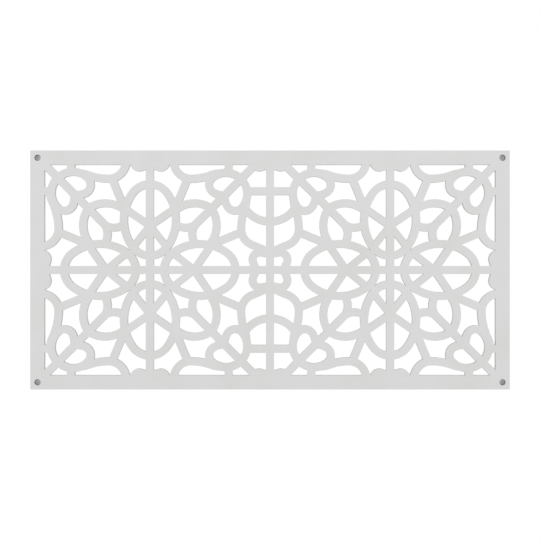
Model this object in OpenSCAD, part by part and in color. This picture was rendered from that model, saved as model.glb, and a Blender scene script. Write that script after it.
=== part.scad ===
// Fretwork screen panel: one flat sheet, cut through with a repeating pattern
// of ribs inside a plain border, and held by a recessed screw at each corner.
// Sizes are in millimetres. The origin is the centre of the back face. The
// front face looks along -Y, and +Z is up.

/* [Sheet] */
// Width of the sheet
panel_w = 1200; // [1000:10:1500]
// Height of the sheet
panel_h = 598; // [500:2:700]
// Thickness of the sheet
sheet_t = 8; // [7:0.5:18]
// Width of the plain border on all four sides
border_w = 35.5; // [32:0.5:60]

/* [Ribs] */
// Width of the main ribs
rib_w = 20; // [14:0.5:24]
// Width of the upper struts in the axis petals
upper_strut_w = 19.5; // [12:0.5:24]
// Width of the lower struts in the axis petals
lower_strut_w = 18; // [12:0.5:24]

/* [Tile] */
// Distance from the centre of a tile to its edge
tile_half = 301; // [290:0.1:320]
// Distance from the centre of a tile to the side bars that tie its leaves
tie_offset = 197.4; // [185:0.1:205]

/* [Axis petals] */
// Distance from the centre of a tile to the centre of an axis petal
petal_reach = 125.2; // [118:0.1:132]
// Radius of the long sides of an axis petal
petal_side_r = 114; // [105:0.5:125]
// Radius of the round ends of an axis petal
petal_end_r = 53; // [46:0.5:60]
// Distance from the centre of a tile to the crossing of the struts
strut_cross = 110.8; // [100:0.1:120]
// Slope of the upper struts in degrees
upper_strut_slope = 34.5; // [28:0.1:42]
// Slope of the lower struts in degrees
lower_strut_slope = 51.5; // [45:0.1:58]

/* [Diagonal petals] */
// Arc centre of a diagonal petal, across the nearer axis
lens_across = 111.9; // [106:0.1:118]
// Arc centre of a diagonal petal, along the nearer axis
lens_along = 92.7; // [87:0.1:98]
// Arc radius of a diagonal petal
lens_r = 74.5; // [68:0.5:82]
// Arc centre of a fork arm, across the nearer axis
fork_across = 89.9; // [84:0.1:95]
// Arc centre of a fork arm, along the nearer axis
fork_along = 149; // [144:0.1:154]
// Arc radius of a fork arm
fork_r = 43; // [40:0.5:46]

/* [Leaves] */
// Centre of a lobe's round end, across the nearer axis
lobe_across = 171.4; // [166:0.1:177]
// Centre of a lobe's round end, along the nearer axis
lobe_along = 213.8; // [208:0.1:219]
// Radius of a lobe's round end
lobe_end_r = 23; // [20:0.5:27]
// Radius of a lobe's inner side
lobe_under_r = 57; // [45:1:75]
// Radius of the outer side of the lobes next to the middle seam
in_lobe_r = 53.7; // [48:0.1:60]
// Lean of the lobes next to the middle seam in degrees
in_lobe_lean = 129.1; // [122:0.1:135]
// Radius of the outer side of the lobes above and below the outer leaves
top_lobe_r = 51.4; // [46:0.1:58]
// Lean of the lobes above and below the outer leaves in degrees
top_lobe_lean = 139.2; // [132:0.1:145]
// Distance that these lobes sit closer to the tile's centre than the others
top_lobe_sink = 0.6; // [0:0.1:2]
// Radius of the outer side of the lobes beside the side borders
side_lobe_r = 51.3; // [46:0.1:58]
// Lean of the lobes beside the side borders in degrees
side_lobe_lean = 140; // [132:0.1:145]
// Distance that their outer side swells towards the border between tie and wave
side_lobe_swell = 2.3; // [0.5:0.1:4]

/* [Waves] */
// Lowest point of a wave, across the nearer axis
wave_across = 103.3; // [98:0.1:108]
// Lowest point of a wave, along the nearer axis
wave_along = 228.7; // [222:0.1:235]
// Radius of a wave where it turns outward
wave_turn_r = 43.5; // [38:0.5:48]
// Radius of a wave where it straightens towards the tile's edge
wave_foot_r = 350; // [250:5:450]
// Radius of a wave where it rises to the leaf
wave_rise_r = 148; // [130:1:170]
// Radius of a wave where it runs into the leaf
wave_join_r = 56; // [46:0.5:70]
// Slope of the ribs between the petals and the waves in degrees
ray_slope = 67.4; // [64:0.1:71]
// Distance from the crossing where these ribs start to their middle line
ray_shift = 1.4; // [0:0.1:2]

/* [Edge rosettes] */
// Centre of a rosette lobe at the border, across the tile's axis
rosette_across = 27; // [24:0.1:30]
// Centre of a rosette lobe at the border, in from the tile's edge
rosette_in = 31; // [27:0.1:34]
// Radius of a rosette lobe at the border
rosette_r = 23; // [20:0.5:26]
// Distance from the tile's edge to where a rosette lobe meets its axis
rosette_foot = 36.9; // [34:0.1:41]

/* [Middle seam] */
// Distance from the middle of the seam to the foot of an open lobe
seam_foot = 34.4; // [31:0.5:37]
// Length of the straight foot of an open lobe
seam_foot_len = 20.2; // [17:0.1:24]
// Slope of the foot of an open lobe in degrees
seam_foot_slope = 67; // [63:0.5:71]
// Radius of an open lobe
seam_lobe_r = 18.2; // [16:0.1:21]
// Height of the centre of the loop that ties the two tiles
loop_along = 196.1; // [190:0.1:203]

/* [Fixings] */
// Distance from the sheet's edges to the screw axes
hole_inset = 18; // [16:0.5:24]
// Depth of the screw recess in the front face
recess_depth = 5; // [3.5:0.25:6]
// Diameter of the screw head
head_d = 13.5; // [10:0.5:14.5]
// Gap around the screw head
head_gap = 1; // [0.5:0.1:1.5]
// Thickness of the rim of the screw head
head_rim = 1.4; // [1:0.1:2]
// Height of the dome on the screw head
head_dome = 1; // [0.4:0.1:1.4]
// Diameter of the screw over its thread
screw_d = 5; // [4:0.5:6]
// Diameter of the plain neck under the head
neck_d = 3.7; // [3:0.1:4]
// Distance that the neck reaches past the back of the sheet
neck_past = 1; // [0.5:0.5:4]
// Gap around the screw in its hole
screw_gap = 0.5; // [0.2:0.1:1]
// Length of the screw under its head
screw_len = 40; // [25:1:60]
// Length of the screw's point
point_len = 6; // [4:0.5:8]

/* [Hidden] */
$fn = 96;

far = 1000;
half = rib_w / 2;
recess_d = head_d + 2 * head_gap;
hole_d = screw_d + 2 * screw_gap;
seat_y = recess_depth - sheet_t;
neck_len = sheet_t - recess_depth + neck_past;
hole_x = panel_w / 2 - hole_inset;
hole_z = panel_h / 2 - hole_inset;
open_w = panel_w - 2 * border_w;
open_h = panel_h - 2 * border_w;
columns = ceil(open_w / 2 / (2 * tile_half));
rows = max(0, ceil((open_h / 2 - tile_half) / (2 * tile_half)));

// Turns between two arcs that run into each other are sums of the sharp angle
// of a 3-4-5 triangle and right angles. Their sines and cosines have few
// decimals, so that the ends of both arcs meet on exact coordinates.
turn = atan2(3, 4);
lobe_turn = 3 * turn;
rise_turn = 3 * turn - 90;
outward_turn = 180 - 3 * turn;
seam_lobe_turn = 270 - 4 * turn;

petal_flank = petal_side_r - (petal_side_r - petal_end_r) * cos(turn);
petal_side = [petal_flank - petal_side_r, petal_reach];
lens = [lens_across, lens_along];
fork = [fork_across, fork_along];

// Lobes as centre, radius of the outer side, lean and swell
in_lobe = [[lobe_across, lobe_along], in_lobe_r, in_lobe_lean, 0];
top_lobe = [[lobe_across, lobe_along - top_lobe_sink], top_lobe_r, top_lobe_lean, 0];
side_lobe = [[lobe_across, lobe_along], side_lobe_r, side_lobe_lean, side_lobe_swell];
wave = [wave_across, wave_along];
wave_top = wave + round_end(0, wave_rise_r, rise_turn);

function ray(direction) = [cos(direction), sin(direction)];

function heading(from, to) = atan2(to.y - from.y, to.x - from.x);

// Step made by a curve that starts along the heading h and turns by sweep
function round_end(h, r, sweep) =
    sign(sweep) * r * [sin(h + sweep) - sin(h), cos(h) - cos(h + sweep)];

// Point where the circle round c meets the diagonal, on its outer or inner side
function on_diagonal(c, r, side) =
    let (t = (c.x + c.y + side * sqrt(2 * r * r - (c.x - c.y) * (c.x - c.y))) / 2) [t, t];

// Point where the circles round a and b meet, to the left or right of a to b
function meet(a, ra, b, rb, side) =
    let (
        d = norm(b - a),
        along = (b - a) / d,
        s = (ra * ra - rb * rb + d * d) / (2 * d)
    ) a + s * along + side * sqrt(max(0, ra * ra - s * s)) * [-along.y, along.x];

// Distance from p, in the direction given, to the near or far side of the circle round c
function run_to(p, direction, c, r, side) =
    let (
        s = (c - p) * ray(direction),
        off = norm(c - p - s * ray(direction))
    ) s + side * sqrt(r * r - off * off);

// Straight rib from the origin along +X, with children at its end
module go(length, w = rib_w) {
    translate([0, -w / 2]) square([length, w]);
    translate([length, 0]) children();
}

// Straight rib between two points
module bar(from, to) {
    translate(from) rotate(heading(from, to)) go(norm(to - from));
}

module bend_end(r, sweep) {
    translate([0, sign(sweep) * r]) rotate(sweep) translate([0, -sign(sweep) * r]) children();
}

// Curved rib from the origin, at first along +X, with children at its end
module bend(r, sweep) {
    intersection() {
        translate([0, sign(sweep) * r]) difference() {
            circle(r = r + half);
            circle(r = r - half);
        }
        translate([0, -far / 2]) square(far);
        bend_end(r, sweep) translate([-far, -far / 2]) square(far);
    }
    bend_end(r, sweep) children();
}

// Curved rib round c from one direction to another, counter-clockwise
module arc(c, r, from, to) {
    translate(c) rotate(from + 90) translate([0, -r]) bend(r, to - from);
}

// Right half of an axis petal
module petal_half() {
    for (m = [0, 1])
        translate([0, petal_reach]) mirror([0, m]) translate([petal_flank, 0]) rotate(90)
            bend(petal_side_r, turn) bend(petal_end_r, 90 - turn);
}

// Struts that cross inside an axis petal
module struts() {
    cross = [0, strut_cross];
    for (s = [[upper_strut_slope, upper_strut_w], [-lower_strut_slope, lower_strut_w]])
        translate(cross) rotate(s[0]) go(run_to(cross, s[0], petal_side, petal_side_r, 1), s[1]);
}

// Side of a diagonal petal, and the rib from its root to the wave
module lens_and_ray() {
    tip = on_diagonal(lens, lens_r, 1);
    root = meet(petal_side, petal_side_r, lens, lens_r, 1);
    start = root - [ray_shift, 0];
    arc(lens, lens_r, heading(lens, tip), heading(lens, root));
    translate(start) rotate(ray_slope)
        go(run_to(start, ray_slope, wave + [0, wave_turn_r], wave_turn_r, -1));
}

// Fork inside a diagonal petal: one arm, and half of the stem along the diagonal
module fork_arm() {
    root = meet(petal_side, petal_side_r, fork, fork_r, -1);
    off = (fork.y - fork.x) / sqrt(2);
    outer = acos(min(1, (off + half) / (fork_r + half)));
    inner = acos(min(1, (off - half) / (fork_r - half)));
    crotch = on_diagonal(fork, fork_r + half, -1);
    split = fork + (fork_r - half) * ray(-45 - inner);
    arc(fork, fork_r, heading(fork, root), -45 - (outer + inner) / 2);
    bar((crotch + [1, 1] * (split.x + split.y) / 2) / 2, [tile_half, tile_half]);
}

// One lobe of a leaf, with the tie that holds it to the tile's edge
module lobe_rib(lobe) {
    outer_r = lobe[1];
    lean = lobe[2];
    outer = lobe[0] - (outer_r - lobe_end_r) * ray(lean);
    under = lobe[0] - (lobe_under_r - lobe_end_r) * ray(lean + lobe_turn);
    tip = on_diagonal(outer, outer_r, 1);
    root = on_diagonal(under, lobe_under_r, -1);
    translate(lobe[0]) rotate(lean + 90) translate([0, -lobe_end_r]) {
        bend(lobe_end_r, lobe_turn)
            bend(lobe_under_r, heading(under, root) + 360 - lean - lobe_turn);
        mirror([1, 0]) bend(outer_r, lean - heading(outer, tip));
    }
    tie = [tie_offset, outer.y + sqrt(outer_r * outer_r - pow(tie_offset - outer.x, 2))];
    bar(tie, [tie_offset, tile_half]);
    if (lobe[3] > 0) arc(outer, outer_r + lobe[3], heading(outer, tie), lean);
}

// Rib that swings along the outer edge of the medallion, from the tile's edge to a lobe
module wave_rib(lobe) {
    foot = wave + round_end(0, wave_turn_r, outward_turn);
    foot_end = acos(cos(outward_turn) + (tile_half - foot.y) / wave_foot_r);
    outer = lobe[0] - (lobe[1] - lobe_end_r) * ray(lobe[2]);
    join = wave_top + wave_join_r * ray(rise_turn - 90);
    meeting = meet(join, wave_join_r, outer, lobe[1], 1);
    translate(wave) {
        mirror([1, 0]) bend(wave_turn_r, outward_turn)
            bend(wave_foot_r, foot_end - outward_turn);
        bend(wave_rise_r, rise_turn)
            bend(wave_join_r, heading(join, meeting) - 90 - rise_turn);
    }
}

// Solid lobe of a rosette that the border half hides, beside x
module rosette_lobe(x, side) {
    translate([x, tile_half]) mirror([side, 0]) {
        translate([rosette_across, -rosette_in]) circle(r = rosette_r);
        bar([0, -rosette_foot], [rosette_across, half - rosette_in - rosette_r]);
    }
}

// Open lobe of the rosette in the middle of the seam
module seam_lobe() {
    foot_heading = seam_foot_slope - 90;
    end_heading = foot_heading + seam_lobe_turn;
    rise = seam_foot_len * ray(foot_heading)
        + round_end(foot_heading, seam_lobe_r, seam_lobe_turn);
    translate([0, tile_half - seam_foot]) rotate(foot_heading)
        go(seam_foot_len) bend(seam_lobe_r, seam_lobe_turn)
            go((seam_foot - rise.y) / sin(end_heading));
}

// Half of the loop that ties a tile to the next one across the seam
module seam_loop() {
    centre = [loop_along, tile_half];
    arc(centre, norm(centre - wave_top), 180, 360 + heading(centre, wave_top));
}

// Eighth of a tile, between its upper axis and the diagonal
module eighth(lobe, seam) {
    petal_half();
    struts();
    lens_and_ray();
    fork_arm();
    lobe_rib(lobe);
    wave_rib(lobe);
    rosette_lobe(tile_half, 1);
    if (seam) {
        seam_lobe();
        seam_loop();
    } else {
        rosette_lobe(0, 0);
    }
}

// Tile whose -X edge is a seam with the next tile
module tile() {
    for (u = [0, 1], v = [0, 1]) mirror([u, 0]) mirror([0, v]) {
        eighth(u == 1 ? in_lobe : top_lobe, false);
        mirror([1, -1]) eighth(u == 1 ? in_lobe : side_lobe, u == 1);
    }
}

// Tiles and the straight bars through their centres and along their seams
module fretwork() {
    width = 4 * columns * tile_half;
    height = (4 * rows + 2) * tile_half;
    for (m = [0, 1], c = [1 : columns], r = [-rows : rows])
        mirror([m, 0]) translate([(2 * c - 1) * tile_half, 2 * r * tile_half]) tile();
    for (c = [1 - 2 * columns : 2 * columns - 1])
        translate([c * tile_half, 0]) square([rib_w, height], center = true);
    for (r = [-2 * rows : 2 * rows])
        translate([0, r * tile_half]) square([width, rib_w], center = true);
}

module sheet_outline() {
    difference() {
        square([panel_w, panel_h], center = true);
        square([open_w, open_h], center = true);
    }
    intersection() {
        square([open_w + border_w, open_h + border_w], center = true);
        fretwork();
    }
}

// Places its children at a corner, with the screw's axis along +Z and the back at z = 0
module at_corner(sx, sz) {
    translate([sx * hole_x, 0, sz * hole_z]) rotate([-90, 0, 0]) children();
}

module fretwork_panel() {
    color("white") difference() {
        rotate([90, 0, 0]) linear_extrude(sheet_t) sheet_outline();
        for (sx = [-1, 1], sz = [-1, 1]) at_corner(sx, sz) {
            translate([0, 0, -sheet_t - 1]) cylinder(d = hole_d, h = sheet_t + 2);
            translate([0, 0, -sheet_t - 1]) cylinder(d = recess_d, h = recess_depth + 1);
        }
    }
}

// Wafer-head screw whose head sits on the floor of the recess
module screw(sx, sz) {
    dome_r = (head_d * head_d / 4 + head_dome * head_dome) / (2 * head_dome);
    color("silver") at_corner(sx, sz) translate([0, 0, seat_y]) {
        translate([0, 0, -head_rim]) cylinder(d = head_d, h = head_rim);
        intersection() {
            translate([0, 0, -head_rim - head_dome]) cylinder(d = head_d, h = head_dome);
            translate([0, 0, dome_r - head_rim - head_dome]) sphere(r = dome_r);
        }
        cylinder(d = neck_d, h = neck_len);
        translate([0, 0, neck_len])
            cylinder(d = screw_d, h = screw_len - point_len - neck_len);
        translate([0, 0, screw_len - point_len])
            cylinder(d1 = screw_d, d2 = 0.6, h = point_len);
    }
}

fretwork_panel();
screw(-1, 1);  // screw_top_left
screw(1, 1);  // screw_top_right
screw(-1, -1);  // screw_bottom_left
screw(1, -1);  // screw_bottom_right
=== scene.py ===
"""Looks of a fretwork screen panel: one cut white sheet held by a recessed screw in each corner.

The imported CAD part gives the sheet's outline, its openings and the places of the screws. The
classes below add what a maker adds to them: broken edges, threads, drive recesses and finishes.
Lengths are in metres unless a name says otherwise.
"""

import logging
import math
from dataclasses import dataclass, field
from enum import Enum, IntEnum

import bmesh
import bpy
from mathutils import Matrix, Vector
from mathutils.geometry import delaunay_2d_cdt


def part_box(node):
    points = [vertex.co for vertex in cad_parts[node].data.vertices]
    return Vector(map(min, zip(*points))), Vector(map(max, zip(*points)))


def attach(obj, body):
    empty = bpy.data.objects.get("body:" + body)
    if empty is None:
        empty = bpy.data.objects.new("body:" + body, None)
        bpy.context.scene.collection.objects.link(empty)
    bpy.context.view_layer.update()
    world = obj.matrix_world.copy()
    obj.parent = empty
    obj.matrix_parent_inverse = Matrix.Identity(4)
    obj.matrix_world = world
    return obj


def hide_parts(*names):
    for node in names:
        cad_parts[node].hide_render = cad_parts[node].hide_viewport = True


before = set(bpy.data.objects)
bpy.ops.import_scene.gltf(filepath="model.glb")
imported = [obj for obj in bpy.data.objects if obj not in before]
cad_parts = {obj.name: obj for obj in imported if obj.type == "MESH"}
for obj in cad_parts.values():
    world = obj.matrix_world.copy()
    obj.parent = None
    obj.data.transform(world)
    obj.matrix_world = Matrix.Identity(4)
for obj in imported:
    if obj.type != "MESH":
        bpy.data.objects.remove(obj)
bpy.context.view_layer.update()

LOG = logging.getLogger("fretwork_panel")
MM = 0.001
WHITE = (1.0, 1.0, 1.0, 1.0)
# Phase that a wave texture gains over one unit of its scaled coordinate.
WAVE_RATE = 20.0
# Kind of triangulation that fills the given loops and nothing outside them.
INSIDE_LOOPS = 1
# Keeps a rim that turns straight back from a division by zero.
NEARLY_ZERO = 1e-6

Pairs = list[tuple[float, float]]
Rim = list[Vector]


class Socket(Enum):
    """Socket types of the inputs and outputs that a geometry tree offers."""

    GEOMETRY = "NodeSocketGeometry"
    OBJECT = "NodeSocketObject"
    MATERIAL = "NodeSocketMaterial"


class Corner(Enum):
    """Corners of the sheet by the CAD node of the screw that sits there."""

    TOP_LEFT = "screw_top_left"
    TOP_RIGHT = "screw_top_right"
    BOTTOM_LEFT = "screw_bottom_left"
    BOTTOM_RIGHT = "screw_bottom_right"


class SheetSlot(IntEnum):
    """Material slots of the cut sheet."""

    FACE = 0
    CUT = 1


def linear(hex_colour: str, alpha: float = 1.0) -> tuple[float, float, float, float]:
    """Turns an sRGB hex colour to linear values.

    Args:
        hex_colour: Six hex digits, with or without a leading mark.
        alpha: Opacity of the colour.

    Returns:
        Red, green, blue and alpha for a shader socket.
    """
    digits = hex_colour.lstrip("#")
    shares = [int(digits[i : i + 2], 16) / 255 for i in (0, 2, 4)]
    rgb = [s / 12.92 if s <= 0.04045 else ((s + 0.055) / 1.055) ** 2.4 for s in shares]
    return (rgb[0], rgb[1], rgb[2], alpha)


def per_metre(size_mm: float) -> float:
    """Turns the size of a pattern's features in millimetres to the scale of a texture."""
    return 1 / (size_mm * MM)


def add_node(
    tree: bpy.types.NodeTree,
    kind: str,
    links: dict[str | int, object] | None = None,
    **settings: object,
) -> bpy.types.Node:
    """Adds a node with its settings, values and links.

    Args:
        tree: Tree that gets the node.
        kind: Blender's name of the node's type.
        links: Input by name or number, with the output socket or the value that it gets.
        **settings: Properties of the node.

    Returns:
        The new node.
    """
    node = tree.nodes.new(kind)
    for name, value in settings.items():
        setattr(node, name, value)
    for key, value in (links or {}).items():
        socket = node.inputs[key]
        if isinstance(value, bpy.types.NodeSocket):
            tree.links.new(value, socket)
        else:
            socket.default_value = value
    return node


def new_material(name: str) -> tuple[bpy.types.Material, bpy.types.NodeTree]:
    """Makes an empty node material.

    Args:
        name: Name of the material.

    Returns:
        The material and its cleared node tree.
    """
    material = bpy.data.materials.new(name)
    material.use_nodes = True
    material.node_tree.nodes.clear()
    return material, material.node_tree


def finish_mesh(name: str, work: bmesh.types.BMesh) -> bpy.types.Mesh:
    """Writes a mesh that is done to mesh data and frees it.

    Args:
        name: Name of the mesh data.
        work: Mesh that is done.

    Returns:
        The mesh data.
    """
    mesh = bpy.data.meshes.new(name)
    work.to_mesh(mesh)
    work.free()
    return mesh


def place(name: str, content: bpy.types.ID) -> bpy.types.Object:
    """Puts a mesh, a lamp or a camera into the scene as an object at the origin.

    Args:
        name: Name of the object.
        content: What the object shows.

    Returns:
        The new object.
    """
    piece = bpy.data.objects.new(name, content)
    bpy.context.scene.collection.objects.link(piece)
    return piece


def smooth_by_angle(mesh: bpy.types.Mesh, degrees: float) -> None:
    """Shades a mesh smooth, with sharp edges where its faces turn by more than the angle."""
    mesh.shade_smooth()
    mesh.set_sharp_from_angle(angle=math.radians(degrees))


@dataclass(frozen=True)
class SheetFinish:
    """Satin face of a white PVC sheet.

    The sheet is rolled between polished cylinders, which gives a soft sheen with a faint pebble,
    and handling leaves it with broad, barely visible dull patches and a few fine scuffs.
    """

    name: str = "white_pvc_rolled_face"
    colour: str = "#D9D9D9"
    handled: str = "#D5D5D4"
    roughness_low: float = 0.36
    roughness_high: float = 0.52
    ior: float = 1.53
    pebble_mm: float = 1.6
    pebble_height_mm: float = 0.03
    patch_mm: float = 140.0
    patch_from: float = 0.42
    patch_full: float = 0.72
    scuff_mm: float = 34.0
    scuff_lean_deg: float = 24.0
    scuff_stretch: float = 9.0
    scuff_from: float = 0.6
    scuff_full: float = 0.74

    def wear(self, tree: bpy.types.NodeTree, coordinates: bpy.types.NodeSocket) -> bpy.types.NodeSocket:
        """Spreads the dull patches and the scuffs over the face.

        Args:
            tree: Tree of the face's material.
            coordinates: Object coordinates.

        Returns:
            Wear, from 0 on the fresh face to 1 on a dull one.
        """
        patch = add_node(
            tree,
            "ShaderNodeTexNoise",
            {
                "Vector": coordinates,
                "Scale": per_metre(self.patch_mm),
                "Detail": 4.0,
                "Roughness": 0.55,
            },
        )
        stretched = add_node(
            tree,
            "ShaderNodeMapping",
            {
                "Vector": coordinates,
                "Rotation": (0.0, math.radians(self.scuff_lean_deg), 0.0),
                "Scale": (1.0, 1.0, self.scuff_stretch),
            },
        )
        scuff = add_node(
            tree,
            "ShaderNodeTexNoise",
            {
                "Vector": stretched.outputs[0],
                "Scale": per_metre(self.scuff_mm),
                "Detail": 7.0,
                "Roughness": 0.7,
            },
        )
        scuffed = add_node(
            tree,
            "ShaderNodeMapRange",
            {"Value": scuff.outputs["Fac"], "From Min": self.scuff_from, "From Max": self.scuff_full},
        )
        patched = add_node(
            tree,
            "ShaderNodeMapRange",
            {"Value": patch.outputs["Fac"], "From Min": self.patch_from, "From Max": self.patch_full},
        )
        both = add_node(
            tree,
            "ShaderNodeMath",
            {0: patched.outputs[0], 1: scuffed.outputs[0]},
            operation="MAXIMUM",
        )
        return both.outputs[0]

    def build(self) -> bpy.types.Material:
        """Makes the face's material.

        Returns:
            The material.
        """
        material, tree = new_material(self.name)
        coordinates = add_node(tree, "ShaderNodeTexCoord").outputs["Object"]
        wear = self.wear(tree, coordinates)
        colour = add_node(
            tree,
            "ShaderNodeMix",
            {"Factor": wear, "A": linear(self.colour), "B": linear(self.handled)},
            data_type="RGBA",
        )
        rough = add_node(
            tree,
            "ShaderNodeMapRange",
            {"Value": wear, "To Min": self.roughness_low, "To Max": self.roughness_high},
        )
        pebble = add_node(
            tree,
            "ShaderNodeTexNoise",
            {"Vector": coordinates, "Scale": per_metre(self.pebble_mm), "Detail": 2.0},
        )
        relief = add_node(
            tree,
            "ShaderNodeBump",
            {
                "Height": pebble.outputs["Fac"],
                "Strength": 1.0,
                "Distance": self.pebble_height_mm * MM,
            },
        )
        shader = add_node(
            tree,
            "ShaderNodeBsdfPrincipled",
            {
                "Base Color": colour.outputs["Result"],
                "Roughness": rough.outputs[0],
                "IOR": self.ior,
                "Normal": relief.outputs[0],
            },
        )
        add_node(tree, "ShaderNodeOutputMaterial", {"Surface": shader.outputs[0]})
        return material


@dataclass(frozen=True)
class CutFinish:
    """Routed wall of the same sheet.

    The cutter leaves the core duller and a little darker than the face, with fine lines that run
    along the cut, one for each step of the tool's edge.
    """

    name: str = "white_pvc_routed_edge"
    colour: str = "#CFCFCE"
    line_colour: str = "#C4C4C3"
    roughness: float = 0.62
    ior: float = 1.53
    line_mm: float = 0.9
    line_depth_mm: float = 0.03
    waver: float = 0.6
    grain_mm: float = 2.4

    def build(self) -> bpy.types.Material:
        """Makes the wall's material.

        Returns:
            The material.
        """
        material, tree = new_material(self.name)
        coordinates = add_node(tree, "ShaderNodeTexCoord").outputs["Object"]
        lines = add_node(
            tree,
            "ShaderNodeTexWave",
            {
                "Vector": coordinates,
                "Scale": math.tau / WAVE_RATE * per_metre(self.line_mm),
                "Distortion": self.waver,
                "Detail": 2.0,
            },
            wave_type="BANDS",
            bands_direction="Y",
        )
        grain = add_node(
            tree,
            "ShaderNodeTexNoise",
            {"Vector": coordinates, "Scale": per_metre(self.grain_mm), "Detail": 5.0},
        )
        marks = add_node(
            tree,
            "ShaderNodeMath",
            {0: lines.outputs["Fac"], 1: grain.outputs["Fac"]},
            operation="MULTIPLY",
        )
        colour = add_node(
            tree,
            "ShaderNodeMix",
            {"Factor": marks.outputs[0], "A": linear(self.colour), "B": linear(self.line_colour)},
            data_type="RGBA",
        )
        relief = add_node(
            tree,
            "ShaderNodeBump",
            {"Height": marks.outputs[0], "Strength": 1.0, "Distance": self.line_depth_mm * MM},
        )
        shader = add_node(
            tree,
            "ShaderNodeBsdfPrincipled",
            {
                "Base Color": colour.outputs["Result"],
                "Roughness": self.roughness,
                "IOR": self.ior,
                "Normal": relief.outputs[0],
            },
        )
        add_node(tree, "ShaderNodeOutputMaterial", {"Surface": shader.outputs[0]})
        return material


@dataclass(frozen=True)
class ScrewFinish:
    """Zinc-plated steel of a wood screw.

    Barrel plating leaves a cool grey metal with a cloudy dullness and fine tumbling marks. Both greys
    are set darker than bare zinc plate. That darkness is partly the plating's own grey and partly
    painted shade, standing in for the half shade that the recess casts on the head.
    """

    name: str = "zinc_plated_steel"
    # Both greys are darker than bare zinc: partly the plating's own tone, partly painted shade for the
    # recess round the head.
    bright: str = "#9C9EA0"
    dull: str = "#85878A"
    roughness_low: float = 0.3
    roughness_high: float = 0.5
    cloud_mm: float = 3.5
    cloud_from: float = 0.3
    cloud_full: float = 0.7
    mark_mm: float = 0.5
    mark_depth_mm: float = 0.02

    def build(self) -> bpy.types.Material:
        """Makes the plated steel.

        Returns:
            The material.
        """
        material, tree = new_material(self.name)
        coordinates = add_node(tree, "ShaderNodeTexCoord").outputs["Object"]
        cloud = add_node(
            tree,
            "ShaderNodeTexNoise",
            {"Vector": coordinates, "Scale": per_metre(self.cloud_mm), "Detail": 4.0},
        )
        marks = add_node(
            tree,
            "ShaderNodeTexNoise",
            {
                "Vector": coordinates,
                "Scale": per_metre(self.mark_mm),
                "Detail": 6.0,
                "Roughness": 0.7,
            },
        )
        colour = add_node(
            tree,
            "ShaderNodeMix",
            {"Factor": cloud.outputs["Fac"], "A": linear(self.bright), "B": linear(self.dull)},
            data_type="RGBA",
        )
        rough = add_node(
            tree,
            "ShaderNodeMapRange",
            {
                "Value": cloud.outputs["Fac"],
                "From Min": self.cloud_from,
                "From Max": self.cloud_full,
                "To Min": self.roughness_low,
                "To Max": self.roughness_high,
            },
        )
        relief = add_node(
            tree,
            "ShaderNodeBump",
            {
                "Height": marks.outputs["Fac"],
                "Strength": 1.0,
                "Distance": self.mark_depth_mm * MM,
            },
        )
        shader = add_node(
            tree,
            "ShaderNodeBsdfPrincipled",
            {
                "Base Color": colour.outputs["Result"],
                "Roughness": rough.outputs[0],
                "Metallic": 1.0,
                "Normal": relief.outputs[0],
            },
        )
        add_node(tree, "ShaderNodeOutputMaterial", {"Surface": shader.outputs[0]})
        return material


@dataclass
class ScrewRecess:
    """Flat-bottomed recess with a through hole, turned about one screw's axis."""

    centre: Vector
    floor: float
    recess_r: float
    hole_r: float
    floor_round: float = 0.4 * MM
    floor_steps: int = 3
    hole_break: float = 0.2 * MM
    around: int = 64

    def owns(self, rim: Rim) -> bool:
        """Tells whether a rim is the recess's own, with all of it within two radii of the axis."""
        return all((point - self.centre).length < 2 * self.recess_r for point in rim)

    def circle(self, radius: float) -> Rim:
        """Lists a circle clockwise as seen from the front, as every opening's rim runs."""
        turns = [-math.tau * i / self.around for i in range(self.around)]
        return [self.centre + radius * Vector((math.cos(turn), math.sin(turn))) for turn in turns]

    def profile(self, easing: Pairs, front: float, back: float) -> Pairs:
        """Lists the recess from the front face to the back face.

        Args:
            easing: Rounding of a cut edge as distance from the wall and depth below the face.
            front: Place of the front face along Y.
            back: Place of the back face along Y.

        Returns:
            Radius and place along Y of each ring.
        """
        steps = [(self.recess_r + out, front + deep) for out, deep in easing]
        for i in range(self.floor_steps + 1):
            turn = math.pi / 2 * i / self.floor_steps
            inward = self.floor_round * (1 - math.cos(turn))
            above = self.floor_round * (1 - math.sin(turn))
            steps.append((self.recess_r - inward, self.floor - above))
        steps.append((self.hole_r + self.hole_break, self.floor))
        steps.append((self.hole_r, self.floor + self.hole_break))
        steps += [(self.hole_r + out, back - deep) for out, deep in reversed(easing)]
        return steps


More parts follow.
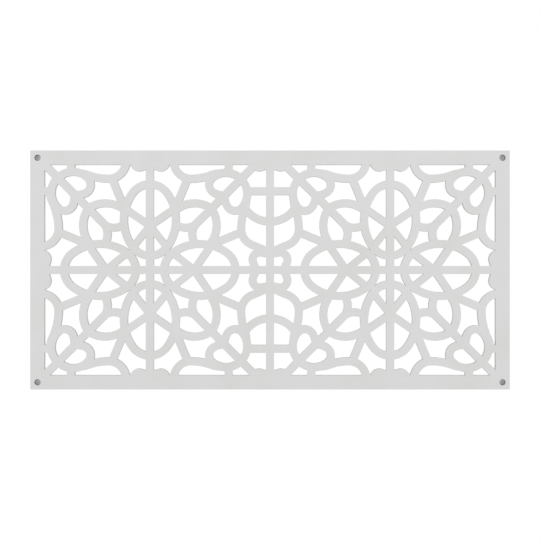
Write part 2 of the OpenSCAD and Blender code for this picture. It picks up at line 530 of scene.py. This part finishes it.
@dataclass
class FretworkSheet:
    """The cut sheet: flat faces, straight walls and a broken edge round every opening."""

    node: bpy.types.Object
    seats: list[Vector]
    edge_round: float = 0.45 * MM
    edge_steps: int = 3
    merge: float = 0.002 * MM
    same_place: float = 1e-7
    smooth_turn_deg: float = 25.0
    like_length: float = 1.45
    longest_mitre: float = 5.0
    corner_turn_deg: float = 34.0
    face: SheetFinish = field(default_factory=SheetFinish)
    cut: CutFinish = field(default_factory=CutFinish)

    def rims(self, solid: bmesh.types.BMesh, level: float) -> list[Rim]:
        """Follows the edges at which a flat face of the solid ends.

        Args:
            solid: Merged copy of the CAD mesh.
            level: Place of the flat face along Y.

        Returns:
            Closed loops of X and Z, with the material on the left at the front face.
        """
        flat = [f for f in solid.faces if all(abs(v.co.y - level) < self.merge for v in f.verts)]
        inside = {face.index for face in flat}
        follows = {}
        for face in flat:
            for loop in face.loops:
                if any(other.index not in inside for other in loop.edge.link_faces):
                    follows[loop.vert] = loop.link_loop_next.vert
        rims = []
        while follows:
            start, here = follows.popitem()
            rim = [start]
            while here is not start:
                rim.append(here)
                here = follows.pop(here)
            rims.append([Vector((vertex.co.x, vertex.co.z)) for vertex in rim])
        return rims

    def recess_at(self, seat: Vector, front_rims: list[Rim], back_rims: list[Rim]) -> ScrewRecess:
        """Measures the recess and the hole round one screw's axis.

        Args:
            seat: Seat of the screw's head, on the recess's floor.
            front_rims: Rims on the front face.
            back_rims: Rims on the back face.

        Returns:
            The recess, with the radii of the rims that run round the axis most closely.
        """
        centre = Vector((seat.x, seat.z))
        recess_r, hole_r = (
            min(max((point - centre).length for point in rim) for rim in rims)
            for rims in (front_rims, back_rims)
        )
        return ScrewRecess(centre, seat.y, recess_r, hole_r)

    def rounded(self, rim: Rim) -> Rim:
        """Puts a point on the arc over each chord of a rim's round stretches.

        A chord belongs to a round stretch where the next one is about as long and the turn
        between them is small.

        Args:
            rim: Closed loop of points.

        Returns:
            The loop with its arcs twice as fine.
        """
        count = len(rim)
        chords = [rim[(i + 1) % count] - rim[i] for i in range(count)]
        turns = [chords[i - 1].angle_signed(chords[i]) for i in range(count)]
        limit = math.radians(self.smooth_turn_deg)
        finer = []
        for i, chord in enumerate(chords):
            finer.append(rim[i])
            j = (i + 1) % count
            bends = []
            for turn, beside in ((turns[i], chords[i - 1]), (turns[j], chords[j])):
                is_like = 1 / self.like_length < beside.length / chord.length < self.like_length
                if is_like and abs(turn) < limit:
                    bends.append(turn)
            if bends:
                bend = sum(bends) / len(bends)
                rise = math.tan(bend / 4) / 2
                finer.append(rim[i] + chord / 2 + rise * Vector((-chord.y, chord.x)))
        return finer

    def inset(self, rim: Rim, distance: float) -> Rim:
        """Moves a rim into the material on its left, with mitred corners.

        Args:
            rim: Closed loop of points.
            distance: Distance between the rim and the new one.

        Returns:
            The moved loop, point by point.
        """
        moved = []
        for i, here in enumerate(rim):
            into = (here - rim[i - 1]).normalized()
            onward = (rim[(i + 1) % len(rim)] - here).normalized()
            both = Vector((-into.y - onward.y, into.x + onward.x))
            mitre = both / max(1 + into.dot(onward), NEARLY_ZERO)
            mitre *= min(1.0, self.longest_mitre / mitre.length)
            moved.append(here + distance * mitre)
        return moved

    def easing(self) -> Pairs:
        """Lists the rounding of a cut edge, from the face to the wall.

        Returns:
            Distance from the wall and depth below the face of each step.
        """
        steps = []
        for i in range(self.edge_steps + 1):
            turn = math.pi / 2 * i / self.edge_steps
            out = self.edge_round * (1 - math.sin(turn))
            steps.append((out, self.edge_round * (1 - math.cos(turn))))
        return steps

    def wall(self, work: bmesh.types.BMesh, rings: list[tuple[Rim, float]]) -> tuple[list, list]:
        """Joins rings of the same count of points to a wall.

        Args:
            work: Mesh that gets the wall.
            rings: Loops of X and Z with their place along Y, from front to back.

        Returns:
            The vertices of the first and of the last ring.
        """
        laid = [[work.verts.new((p.x, y, p.y)) for p in points] for points, y in rings]
        for near, far in zip(laid, laid[1:]):
            for i in range(len(near)):
                j = (i + 1) % len(near)
                work.faces.new((near[i], far[i], far[j], near[j])).material_index = SheetSlot.CUT
        return laid[0], laid[-1]

    def fill(self, work: bmesh.types.BMesh, edges: list[list], is_back: bool) -> None:
        """Fills a flat face of the sheet.

        Args:
            work: Mesh that gets the face.
            edges: Vertices round the outer edge, and then round each opening.
            is_back: Whether the face looks back.
        """
        corners = [vertex for edge in edges for vertex in edge]
        places = [Vector((vertex.co.x, vertex.co.z)) for vertex in corners]
        count = iter(range(len(corners)))
        outer, *openings = [[next(count) for _ in edge] for edge in edges]
        loops = [outer] + [opening[::-1] for opening in openings]
        _, _, triangles, sources, _, owners = delaunay_2d_cdt(
            places, [], loops, INSIDE_LOOPS, self.same_place
        )
        for triangle, within in zip(triangles, owners):
            is_material = list(within) == [0]
            if is_material:
                found = [corners[sources[i][0]] for i in triangle]
                work.faces.new(found[::-1] if is_back else found).material_index = SheetSlot.FACE

    def build(self) -> bpy.types.Object:
        """Makes the finished sheet that stands for the CAD node.

        Returns:
            The sheet, with its face and its cut walls dressed.
        """
        solid = bmesh.new()
        solid.from_mesh(self.node.data)
        bmesh.ops.remove_doubles(solid, verts=solid.verts, dist=self.merge)
        solid.faces.index_update()
        front = min(vertex.co.y for vertex in solid.verts)
        back = max(vertex.co.y for vertex in solid.verts)
        front_rims = self.rims(solid, front)
        back_rims = self.rims(solid, back)
        solid.free()

        recesses = [self.recess_at(seat, front_rims, back_rims) for seat in self.seats]
        cuts = [rim for rim in front_rims if not any(recess.owns(rim) for recess in recesses)]
        cuts.sort(key=lambda rim: -max(point.length for point in rim))
        easing = self.easing()
        work = bmesh.new()
        walls = []
        for rim in cuts:
            finer = self.rounded(rim)
            rings = [(self.inset(finer, out), front + deep) for out, deep in easing]
            rings += [(self.inset(finer, out), back - deep) for out, deep in reversed(easing)]
            walls.append(self.wall(work, rings))
        for recess in recesses:
            profile = recess.profile(easing, front, back)
            walls.append(self.wall(work, [(recess.circle(radius), y) for radius, y in profile]))
        self.fill(work, [near for near, _ in walls], is_back=False)
        self.fill(work, [far for _, far in walls], is_back=True)

        mesh = finish_mesh("fretwork_sheet", work)
        mesh.materials.append(self.face.build())
        mesh.materials.append(self.cut.build())
        smooth_by_angle(mesh, self.corner_turn_deg)
        piece = place("fretwork_sheet", mesh)
        even = piece.modifiers.new("flat_faces_stay_flat", "WEIGHTED_NORMAL")
        even.keep_sharp = True
        return piece


@dataclass
class CornerScrew:
    """A wafer-head screw with a cross recess, a rolled thread and a gimlet point."""

    head_r: float = 6.75 * MM
    head_soft: float = 0.25 * MM
    rim: float = 1.4 * MM
    dome: float = 1.0 * MM
    dome_steps: int = 10
    neck_r: float = 1.85 * MM
    neck: float = 4.0 * MM
    thread_r: float = 2.5 * MM
    core_r: float = 1.6 * MM
    thread_pitch: float = 2.2 * MM
    thread_rows: int = 8
    thread_fade: float = 1.6
    flank: float = 0.19
    length: float = 40.0 * MM
    point: float = 6.0 * MM
    point_bulge: float = 0.7
    tip_r: float = 0.15 * MM
    drive_reach: float = 2.5 * MM
    drive_width: float = 1.1 * MM
    drive_depth: float = 1.5 * MM
    drive_over: float = 0.5 * MM
    drive_flare: float = 1.15
    drive_taper: float = 0.45
    drive_waist: float = 0.6
    around: int = 40
    crease_deg: float = 35.0
    merge: float = 0.001 * MM
    finish: ScrewFinish = field(default_factory=ScrewFinish)

    def head_profile(self) -> Pairs:
        """Lists the head's outline as radius and height above the seat.

        Returns:
            Points from the neck, over the seat's outer edge, to the crown.
        """
        ball_r = (self.head_r**2 + self.dome**2) / (2 * self.dome)
        inner_r = self.head_r - self.head_soft
        points = [(self.neck_r, 0.0), (inner_r, 0.0), (self.head_r, self.head_soft)]
        points.append((self.head_r, self.rim - self.head_soft))
        for i in range(self.dome_steps):
            radius = inner_r * (1 - i / self.dome_steps)
            rise = math.sqrt(ball_r**2 - radius**2) - ball_r
            points.append((radius, self.rim + self.dome + rise))
        return points

    def shank_radius(self, along: float, turns: float) -> float:
        """Gives the shank's radius with its thread.

        Args:
            along: Distance from the seat.
            turns: Turns of the thread up to that place, whole at the crest.

        Returns:
            Radius at that place.
        """
        taper = min(1.0, (self.length - along) / self.point)
        grow = min(1.0, max(0.0, (along - self.neck) / self.thread_pitch))
        body = self.neck_r + (self.core_r - self.neck_r) * grow
        crest = max(0.0, 1 - abs(turns - round(turns)) / self.flank)
        depth = (self.thread_r - self.core_r) * grow * min(1.0, taper * self.thread_fade)
        return max(self.tip_r, body * taper**self.point_bulge) + depth * crest

    def round_axis(self, i: int, radius: float, along: float) -> tuple[float, float, float]:
        """Gives a place by its step round the axis, its radius and its distance along the axis."""
        turn = math.tau * i / self.around
        return (radius * math.cos(turn), radius * math.sin(turn), along)

    def add_head(self, work: bmesh.types.BMesh) -> None:
        """Spins the head, which stays open where the neck leaves it.

        Args:
            work: Mesh that gets the head.
        """
        steps = range(self.around)
        rings = []
        for radius, height in self.head_profile():
            rings.append([work.verts.new(self.round_axis(i, radius, -height)) for i in steps])
        crown = work.verts.new((0.0, 0.0, -self.rim - self.dome))
        for i in steps:
            j = (i + 1) % self.around
            for low, high in zip(rings, rings[1:]):
                work.faces.new((low[i], low[j], high[j], high[i]))
            work.faces.new((rings[-1][i], rings[-1][j], crown))

    def add_shank(self, work: bmesh.types.BMesh) -> None:
        """Lays the shank in rows that climb with its thread, so that the crest stays sharp.

        Args:
            work: Mesh that gets the shank.
        """
        count = self.thread_rows
        rows = (math.ceil(self.length / self.thread_pitch) + 2) * count
        grid = []
        for row in range(rows):
            line = []
            for i in range(self.around):
                climb = (row / count - 1 + i / self.around) * self.thread_pitch
                along = min(max(climb, 0.0), self.length)
                radius = self.shank_radius(along, row / count)
                line.append(work.verts.new(self.round_axis(i, radius, along)))
            grid.append(line)
        for row in range(rows - count - 1):
            near = grid[row] + grid[row + count][:1]
            far = grid[row + 1] + grid[row + 1 + count][:1]
            for i in range(self.around):
                work.faces.new((near[i], near[i + 1], far[i + 1], far[i]))

    def body_mesh(self) -> bpy.types.Mesh:
        """Makes the head, the neck and the threaded shank as one closed shell.

        Returns:
            Mesh with its seat at the origin and its point towards +Z.
        """
        work = bmesh.new()
        self.add_head(work)
        self.add_shank(work)
        bmesh.ops.remove_doubles(work, verts=work.verts, dist=self.merge)
        tip = [edge for edge in work.edges if edge.is_boundary]
        bmesh.ops.holes_fill(work, edges=tip, sides=0)
        bmesh.ops.recalc_face_normals(work, faces=work.faces)
        return finish_mesh("screw_body", work)

    def drive_mesh(self) -> bpy.types.Mesh:
        """Makes the tapered cross that the driver's recess is cut with.

        Returns:
            Mesh of two crossing wedges, in the head's place.
        """
        work = bmesh.new()
        crown = -self.rim - self.dome
        levels = (
            (crown - self.drive_over, self.drive_flare),
            (crown + self.drive_depth, self.drive_taper),
        )
        for quarter in (0.0, math.pi / 2):
            corners = []
            for height, share in levels:
                width = self.drive_width * (self.drive_waist + (1 - self.drive_waist) * share)
                for side_x, side_y in ((-1, -1), (1, -1), (1, 1), (-1, 1)):
                    x = side_x * self.drive_reach * share
                    y = side_y * width / 2
                    turned = (
                        x * math.cos(quarter) - y * math.sin(quarter),
                        x * math.sin(quarter) + y * math.cos(quarter),
                        height,
                    )
                    corners.append(work.verts.new(turned))
            low, high = corners[:4], corners[4:]
            work.faces.new(low)
            work.faces.new(high[::-1])
            for i in range(4):
                j = (i + 1) % 4
                work.faces.new((low[j], low[i], high[i], high[j]))
        bmesh.ops.recalc_face_normals(work, faces=work.faces)
        return finish_mesh("screw_drive", work)

    def build(self) -> bpy.types.Object:
        """Makes one screw whose seat is at the origin and whose point is towards +Z.

        Returns:
            The screw, without its finish.
        """
        body = place("screw_body", self.body_mesh())
        drive = place("screw_drive", self.drive_mesh())
        cut = body.modifiers.new("drive_recess", "BOOLEAN")
        cut.operation = "DIFFERENCE"
        cut.object = drive
        cut.solver = "EXACT"
        cut.use_self = True
        graph = bpy.context.evaluated_depsgraph_get()
        mesh = bpy.data.meshes.new_from_object(body.evaluated_get(graph))
        mesh.name = "corner_screw"
        bpy.data.objects.remove(body)
        bpy.data.objects.remove(drive)
        smooth_by_angle(mesh, self.crease_deg)
        return place("corner_screw", mesh)


@dataclass
class CornerScrews:
    """The four screws, set into the corners by one geometry tree."""

    seats: dict[Corner, Vector]
    turns_deg: tuple[float, ...] = (12.0, 58.0, 31.0, 76.0)
    screw: CornerScrew = field(default_factory=CornerScrew)

    def tree(self) -> bpy.types.NodeTree:
        """Builds the tree that sets a screw on each point of the carrier mesh.

        Returns:
            The tree, with inputs for the screw and its plating.
        """
        tree = bpy.data.node_groups.new("corner_screws", "GeometryNodeTree")
        offers = {"Geometry": Socket.GEOMETRY, "Screw": Socket.OBJECT, "Plating": Socket.MATERIAL}
        for name, kind in offers.items():
            tree.interface.new_socket(name, in_out="INPUT", socket_type=kind.value)
        tree.interface.new_socket("Geometry", in_out="OUTPUT", socket_type=Socket.GEOMETRY.value)
        given = add_node(tree, "NodeGroupInput")
        screw = add_node(tree, "GeometryNodeObjectInfo", {"Object": given.outputs["Screw"]})
        turn = add_node(
            tree,
            "GeometryNodeInputNamedAttribute",
            {"Name": "turn"},
            data_type="FLOAT",
        )
        spin = add_node(
            tree,
            "ShaderNodeCombineXYZ",
            {"X": -math.pi / 2, "Y": turn.outputs["Attribute"], "Z": 0.0},
        )
        points = add_node(tree, "GeometryNodeMeshToPoints", {"Mesh": given.outputs["Geometry"]})
        copies = add_node(
            tree,
            "GeometryNodeInstanceOnPoints",
            {
                "Points": points.outputs[0],
                "Instance": screw.outputs["Geometry"],
                "Rotation": spin.outputs[0],
            },
        )
        real = add_node(tree, "GeometryNodeRealizeInstances", {"Geometry": copies.outputs[0]})
        dressed = add_node(
            tree,
            "GeometryNodeSetMaterial",
            {"Geometry": real.outputs[0], "Material": given.outputs["Plating"]},
        )
        add_node(tree, "NodeGroupOutput", {"Geometry": dressed.outputs[0]})
        return tree

    def carrier(self) -> bpy.types.Object:
        """Makes a mesh with a point at each seat, which holds the turn of its screw.

        Returns:
            The object that carries the screws.
        """
        mesh = bpy.data.meshes.new("screw_seats")
        mesh.from_pydata([tuple(seat) for seat in self.seats.values()], [], [])
        turn = mesh.attributes.new("turn", "FLOAT", "POINT")
        for item, degrees in zip(turn.data, self.turns_deg):
            item.value = math.radians(degrees)
        return place("corner_screws", mesh)

    def build(self) -> bpy.types.Object:
        """Makes the four screws as one plain mesh.

        Returns:
            The screws, plated and in their places.
        """
        piece = self.carrier()
        pattern = self.screw.build()
        tree = self.tree()
        modifier = piece.modifiers.new("set_screws", "NODES")
        modifier.node_group = tree
        given = {item.name: item.identifier for item in tree.interface.items_tree}
        modifier[given["Screw"]] = pattern
        modifier[given["Plating"]] = self.screw.finish.build()
        graph = bpy.context.evaluated_depsgraph_get()
        mesh = bpy.data.meshes.new_from_object(piece.evaluated_get(graph))
        mesh.name = "corner_screws"
        for index in reversed([i for i, slot in enumerate(mesh.materials) if slot is None]):
            mesh.materials.pop(index=index)
        piece.modifiers.clear()
        piece.data = mesh
        bpy.data.objects.remove(pattern)
        return piece


@dataclass
class Studio:
    """Pale floor, soft light and the camera at the photograph's viewing angle."""

    centre: Vector
    distance: float = 1.620
    focal_mm: float = 43.168
    sensor_mm: float = 36.0
    floor_drop: float = 1.2
    floor_near: float = -1.5
    floor_far: float = 0.7
    floor_side: float = 1.8
    floor_colour: str = "#F4F4F2"
    floor_lift: float = 0.42
    sky: float = 0.705
    front_strength: float = 0.94
    front_spread_deg: float = 130.0

    def seen_directly(self, tree: bpy.types.NodeTree) -> bpy.types.NodeSocket:
        """Marks the rays that show the surroundings: from the camera, mirrored or through glass.

        Args:
            tree: Tree of the floor's material or of the world.

        Returns:
            1 for such a ray and 0 for any other.
        """
        path = add_node(tree, "ShaderNodeLightPath")
        mirrored = add_node(
            tree,
            "ShaderNodeMath",
            {0: path.outputs["Is Glossy Ray"], 1: path.outputs["Is Transmission Ray"]},
            operation="MAXIMUM",
        )
        seen = add_node(
            tree,
            "ShaderNodeMath",
            {0: path.outputs["Is Camera Ray"], 1: mirrored.outputs[0]},
            operation="MAXIMUM",
        )
        return seen.outputs[0]

    def white_surroundings(self) -> None:
        """Shows a plain white world and lights the object with a softer one."""
        world = bpy.data.worlds.new("studio_air")
        bpy.context.scene.world = world
        world.use_nodes = True
        tree = world.node_tree
        tree.nodes.clear()
        light = add_node(tree, "ShaderNodeBackground", {"Color": WHITE, "Strength": self.sky})
        shown = add_node(tree, "ShaderNodeBackground", {"Color": WHITE, "Strength": 1.0})
        mix = add_node(
            tree,
            "ShaderNodeMixShader",
            {0: self.seen_directly(tree), 1: light.outputs[0], 2: shown.outputs[0]},
        )
        add_node(tree, "ShaderNodeOutputWorld", {"Surface": mix.outputs[0]})

    def floor_paint(self) -> bpy.types.Material:
        """Makes a pale floor that looks white where nothing shades it.

        The lift is added for seen rays alone, so that it throws no light on the object.

        Returns:
            The material.
        """
        material, tree = new_material("pale_floor")
        paint = add_node(tree, "ShaderNodeBsdfDiffuse", {"Color": linear(self.floor_colour)})
        lift = add_node(
            tree,
            "ShaderNodeMath",
            {0: self.seen_directly(tree), 1: self.floor_lift},
            operation="MULTIPLY",
        )
        glow = add_node(
            tree,
            "ShaderNodeEmission",
            {"Color": WHITE, "Strength": lift.outputs[0]},
        )
        both = add_node(tree, "ShaderNodeAddShader", {0: paint.outputs[0], 1: glow.outputs[0]})
        add_node(tree, "ShaderNodeOutputMaterial", {"Surface": both.outputs[0]})
        return material

    def floor(self) -> bpy.types.Object:
        """Lays the floor below the hanging panel.

        Returns:
            The floor.
        """
        work = bmesh.new()
        height = self.centre.z - self.floor_drop
        left, right = -self.floor_side, self.floor_side
        near, far = self.floor_near, self.floor_far
        corners = ((left, near), (right, near), (right, far), (left, far))
        work.faces.new([work.verts.new((x, y, height)) for x, y in corners])
        mesh = finish_mesh("studio_floor", work)
        mesh.materials.append(self.floor_paint())
        return place("studio_floor", mesh)

    def front_light(self) -> None:
        """Sets a broad, soft light that shines from behind the camera."""
        lamp = bpy.data.lights.new("front_light", "SUN")
        lamp.energy = self.front_strength
        lamp.angle = math.radians(self.front_spread_deg)
        place("front_light", lamp).rotation_euler = (math.pi / 2, 0.0, 0.0)

    def camera(self, front: float) -> None:
        """Stands the camera straight in front of the panel.

        Args:
            front: Place of the front face along Y.
        """
        lens = bpy.data.cameras.new("photo_camera")
        lens.lens = self.focal_mm
        lens.sensor_width = self.sensor_mm
        holder = place("photo_camera", lens)
        holder.location = (self.centre.x, front - self.distance, self.centre.z)
        holder.rotation_euler = (math.pi / 2, 0.0, 0.0)
        bpy.context.scene.camera = holder

    def build(self, front: float) -> bpy.types.Object:
        """Sets up the studio.

        Args:
            front: Place of the panel's front face along Y.

        Returns:
            The floor.
        """
        self.white_surroundings()
        self.front_light()
        self.camera(front)
        bpy.context.scene.view_settings.view_transform = "Standard"
        return self.floor()


def screw_seat(node: str, length: float) -> Vector:
    """Finds the seat of a screw's head from the box of its CAD node.

    Args:
        node: Name of the screw's CAD node.
        length: Length of the screw under its head.

    Returns:
        The point where the shank leaves the head.
    """
    low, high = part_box(node)
    return Vector(((low[0] + high[0]) / 2, high[1] - length, (low[2] + high[2]) / 2))


def main() -> None:
    """Builds the sheet, the screws and the studio, and joins the sheet and the screws to the root body.
    """
    logging.basicConfig(level=logging.INFO, format="%(name)s: %(message)s")
    low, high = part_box("fretwork_panel")
    centre = Vector(((low[0] + high[0]) / 2, 0.0, (low[2] + high[2]) / 2))
    seats = {corner: screw_seat(corner.value, CornerScrew.length) for corner in Corner}

    sheet = FretworkSheet(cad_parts["fretwork_panel"], list(seats.values())).build()
    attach(sheet, "root")
    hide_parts("fretwork_panel")
    LOG.info("%s: %d faces", sheet.name, len(sheet.data.polygons))

    screws = CornerScrews(seats).build()
    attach(screws, "root")
    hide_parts(*[corner.value for corner in Corner])
    LOG.info("%s: %d faces", screws.name, len(screws.data.polygons))

    Studio(centre).build(low[1])


if __name__ == "__main__":
    main()
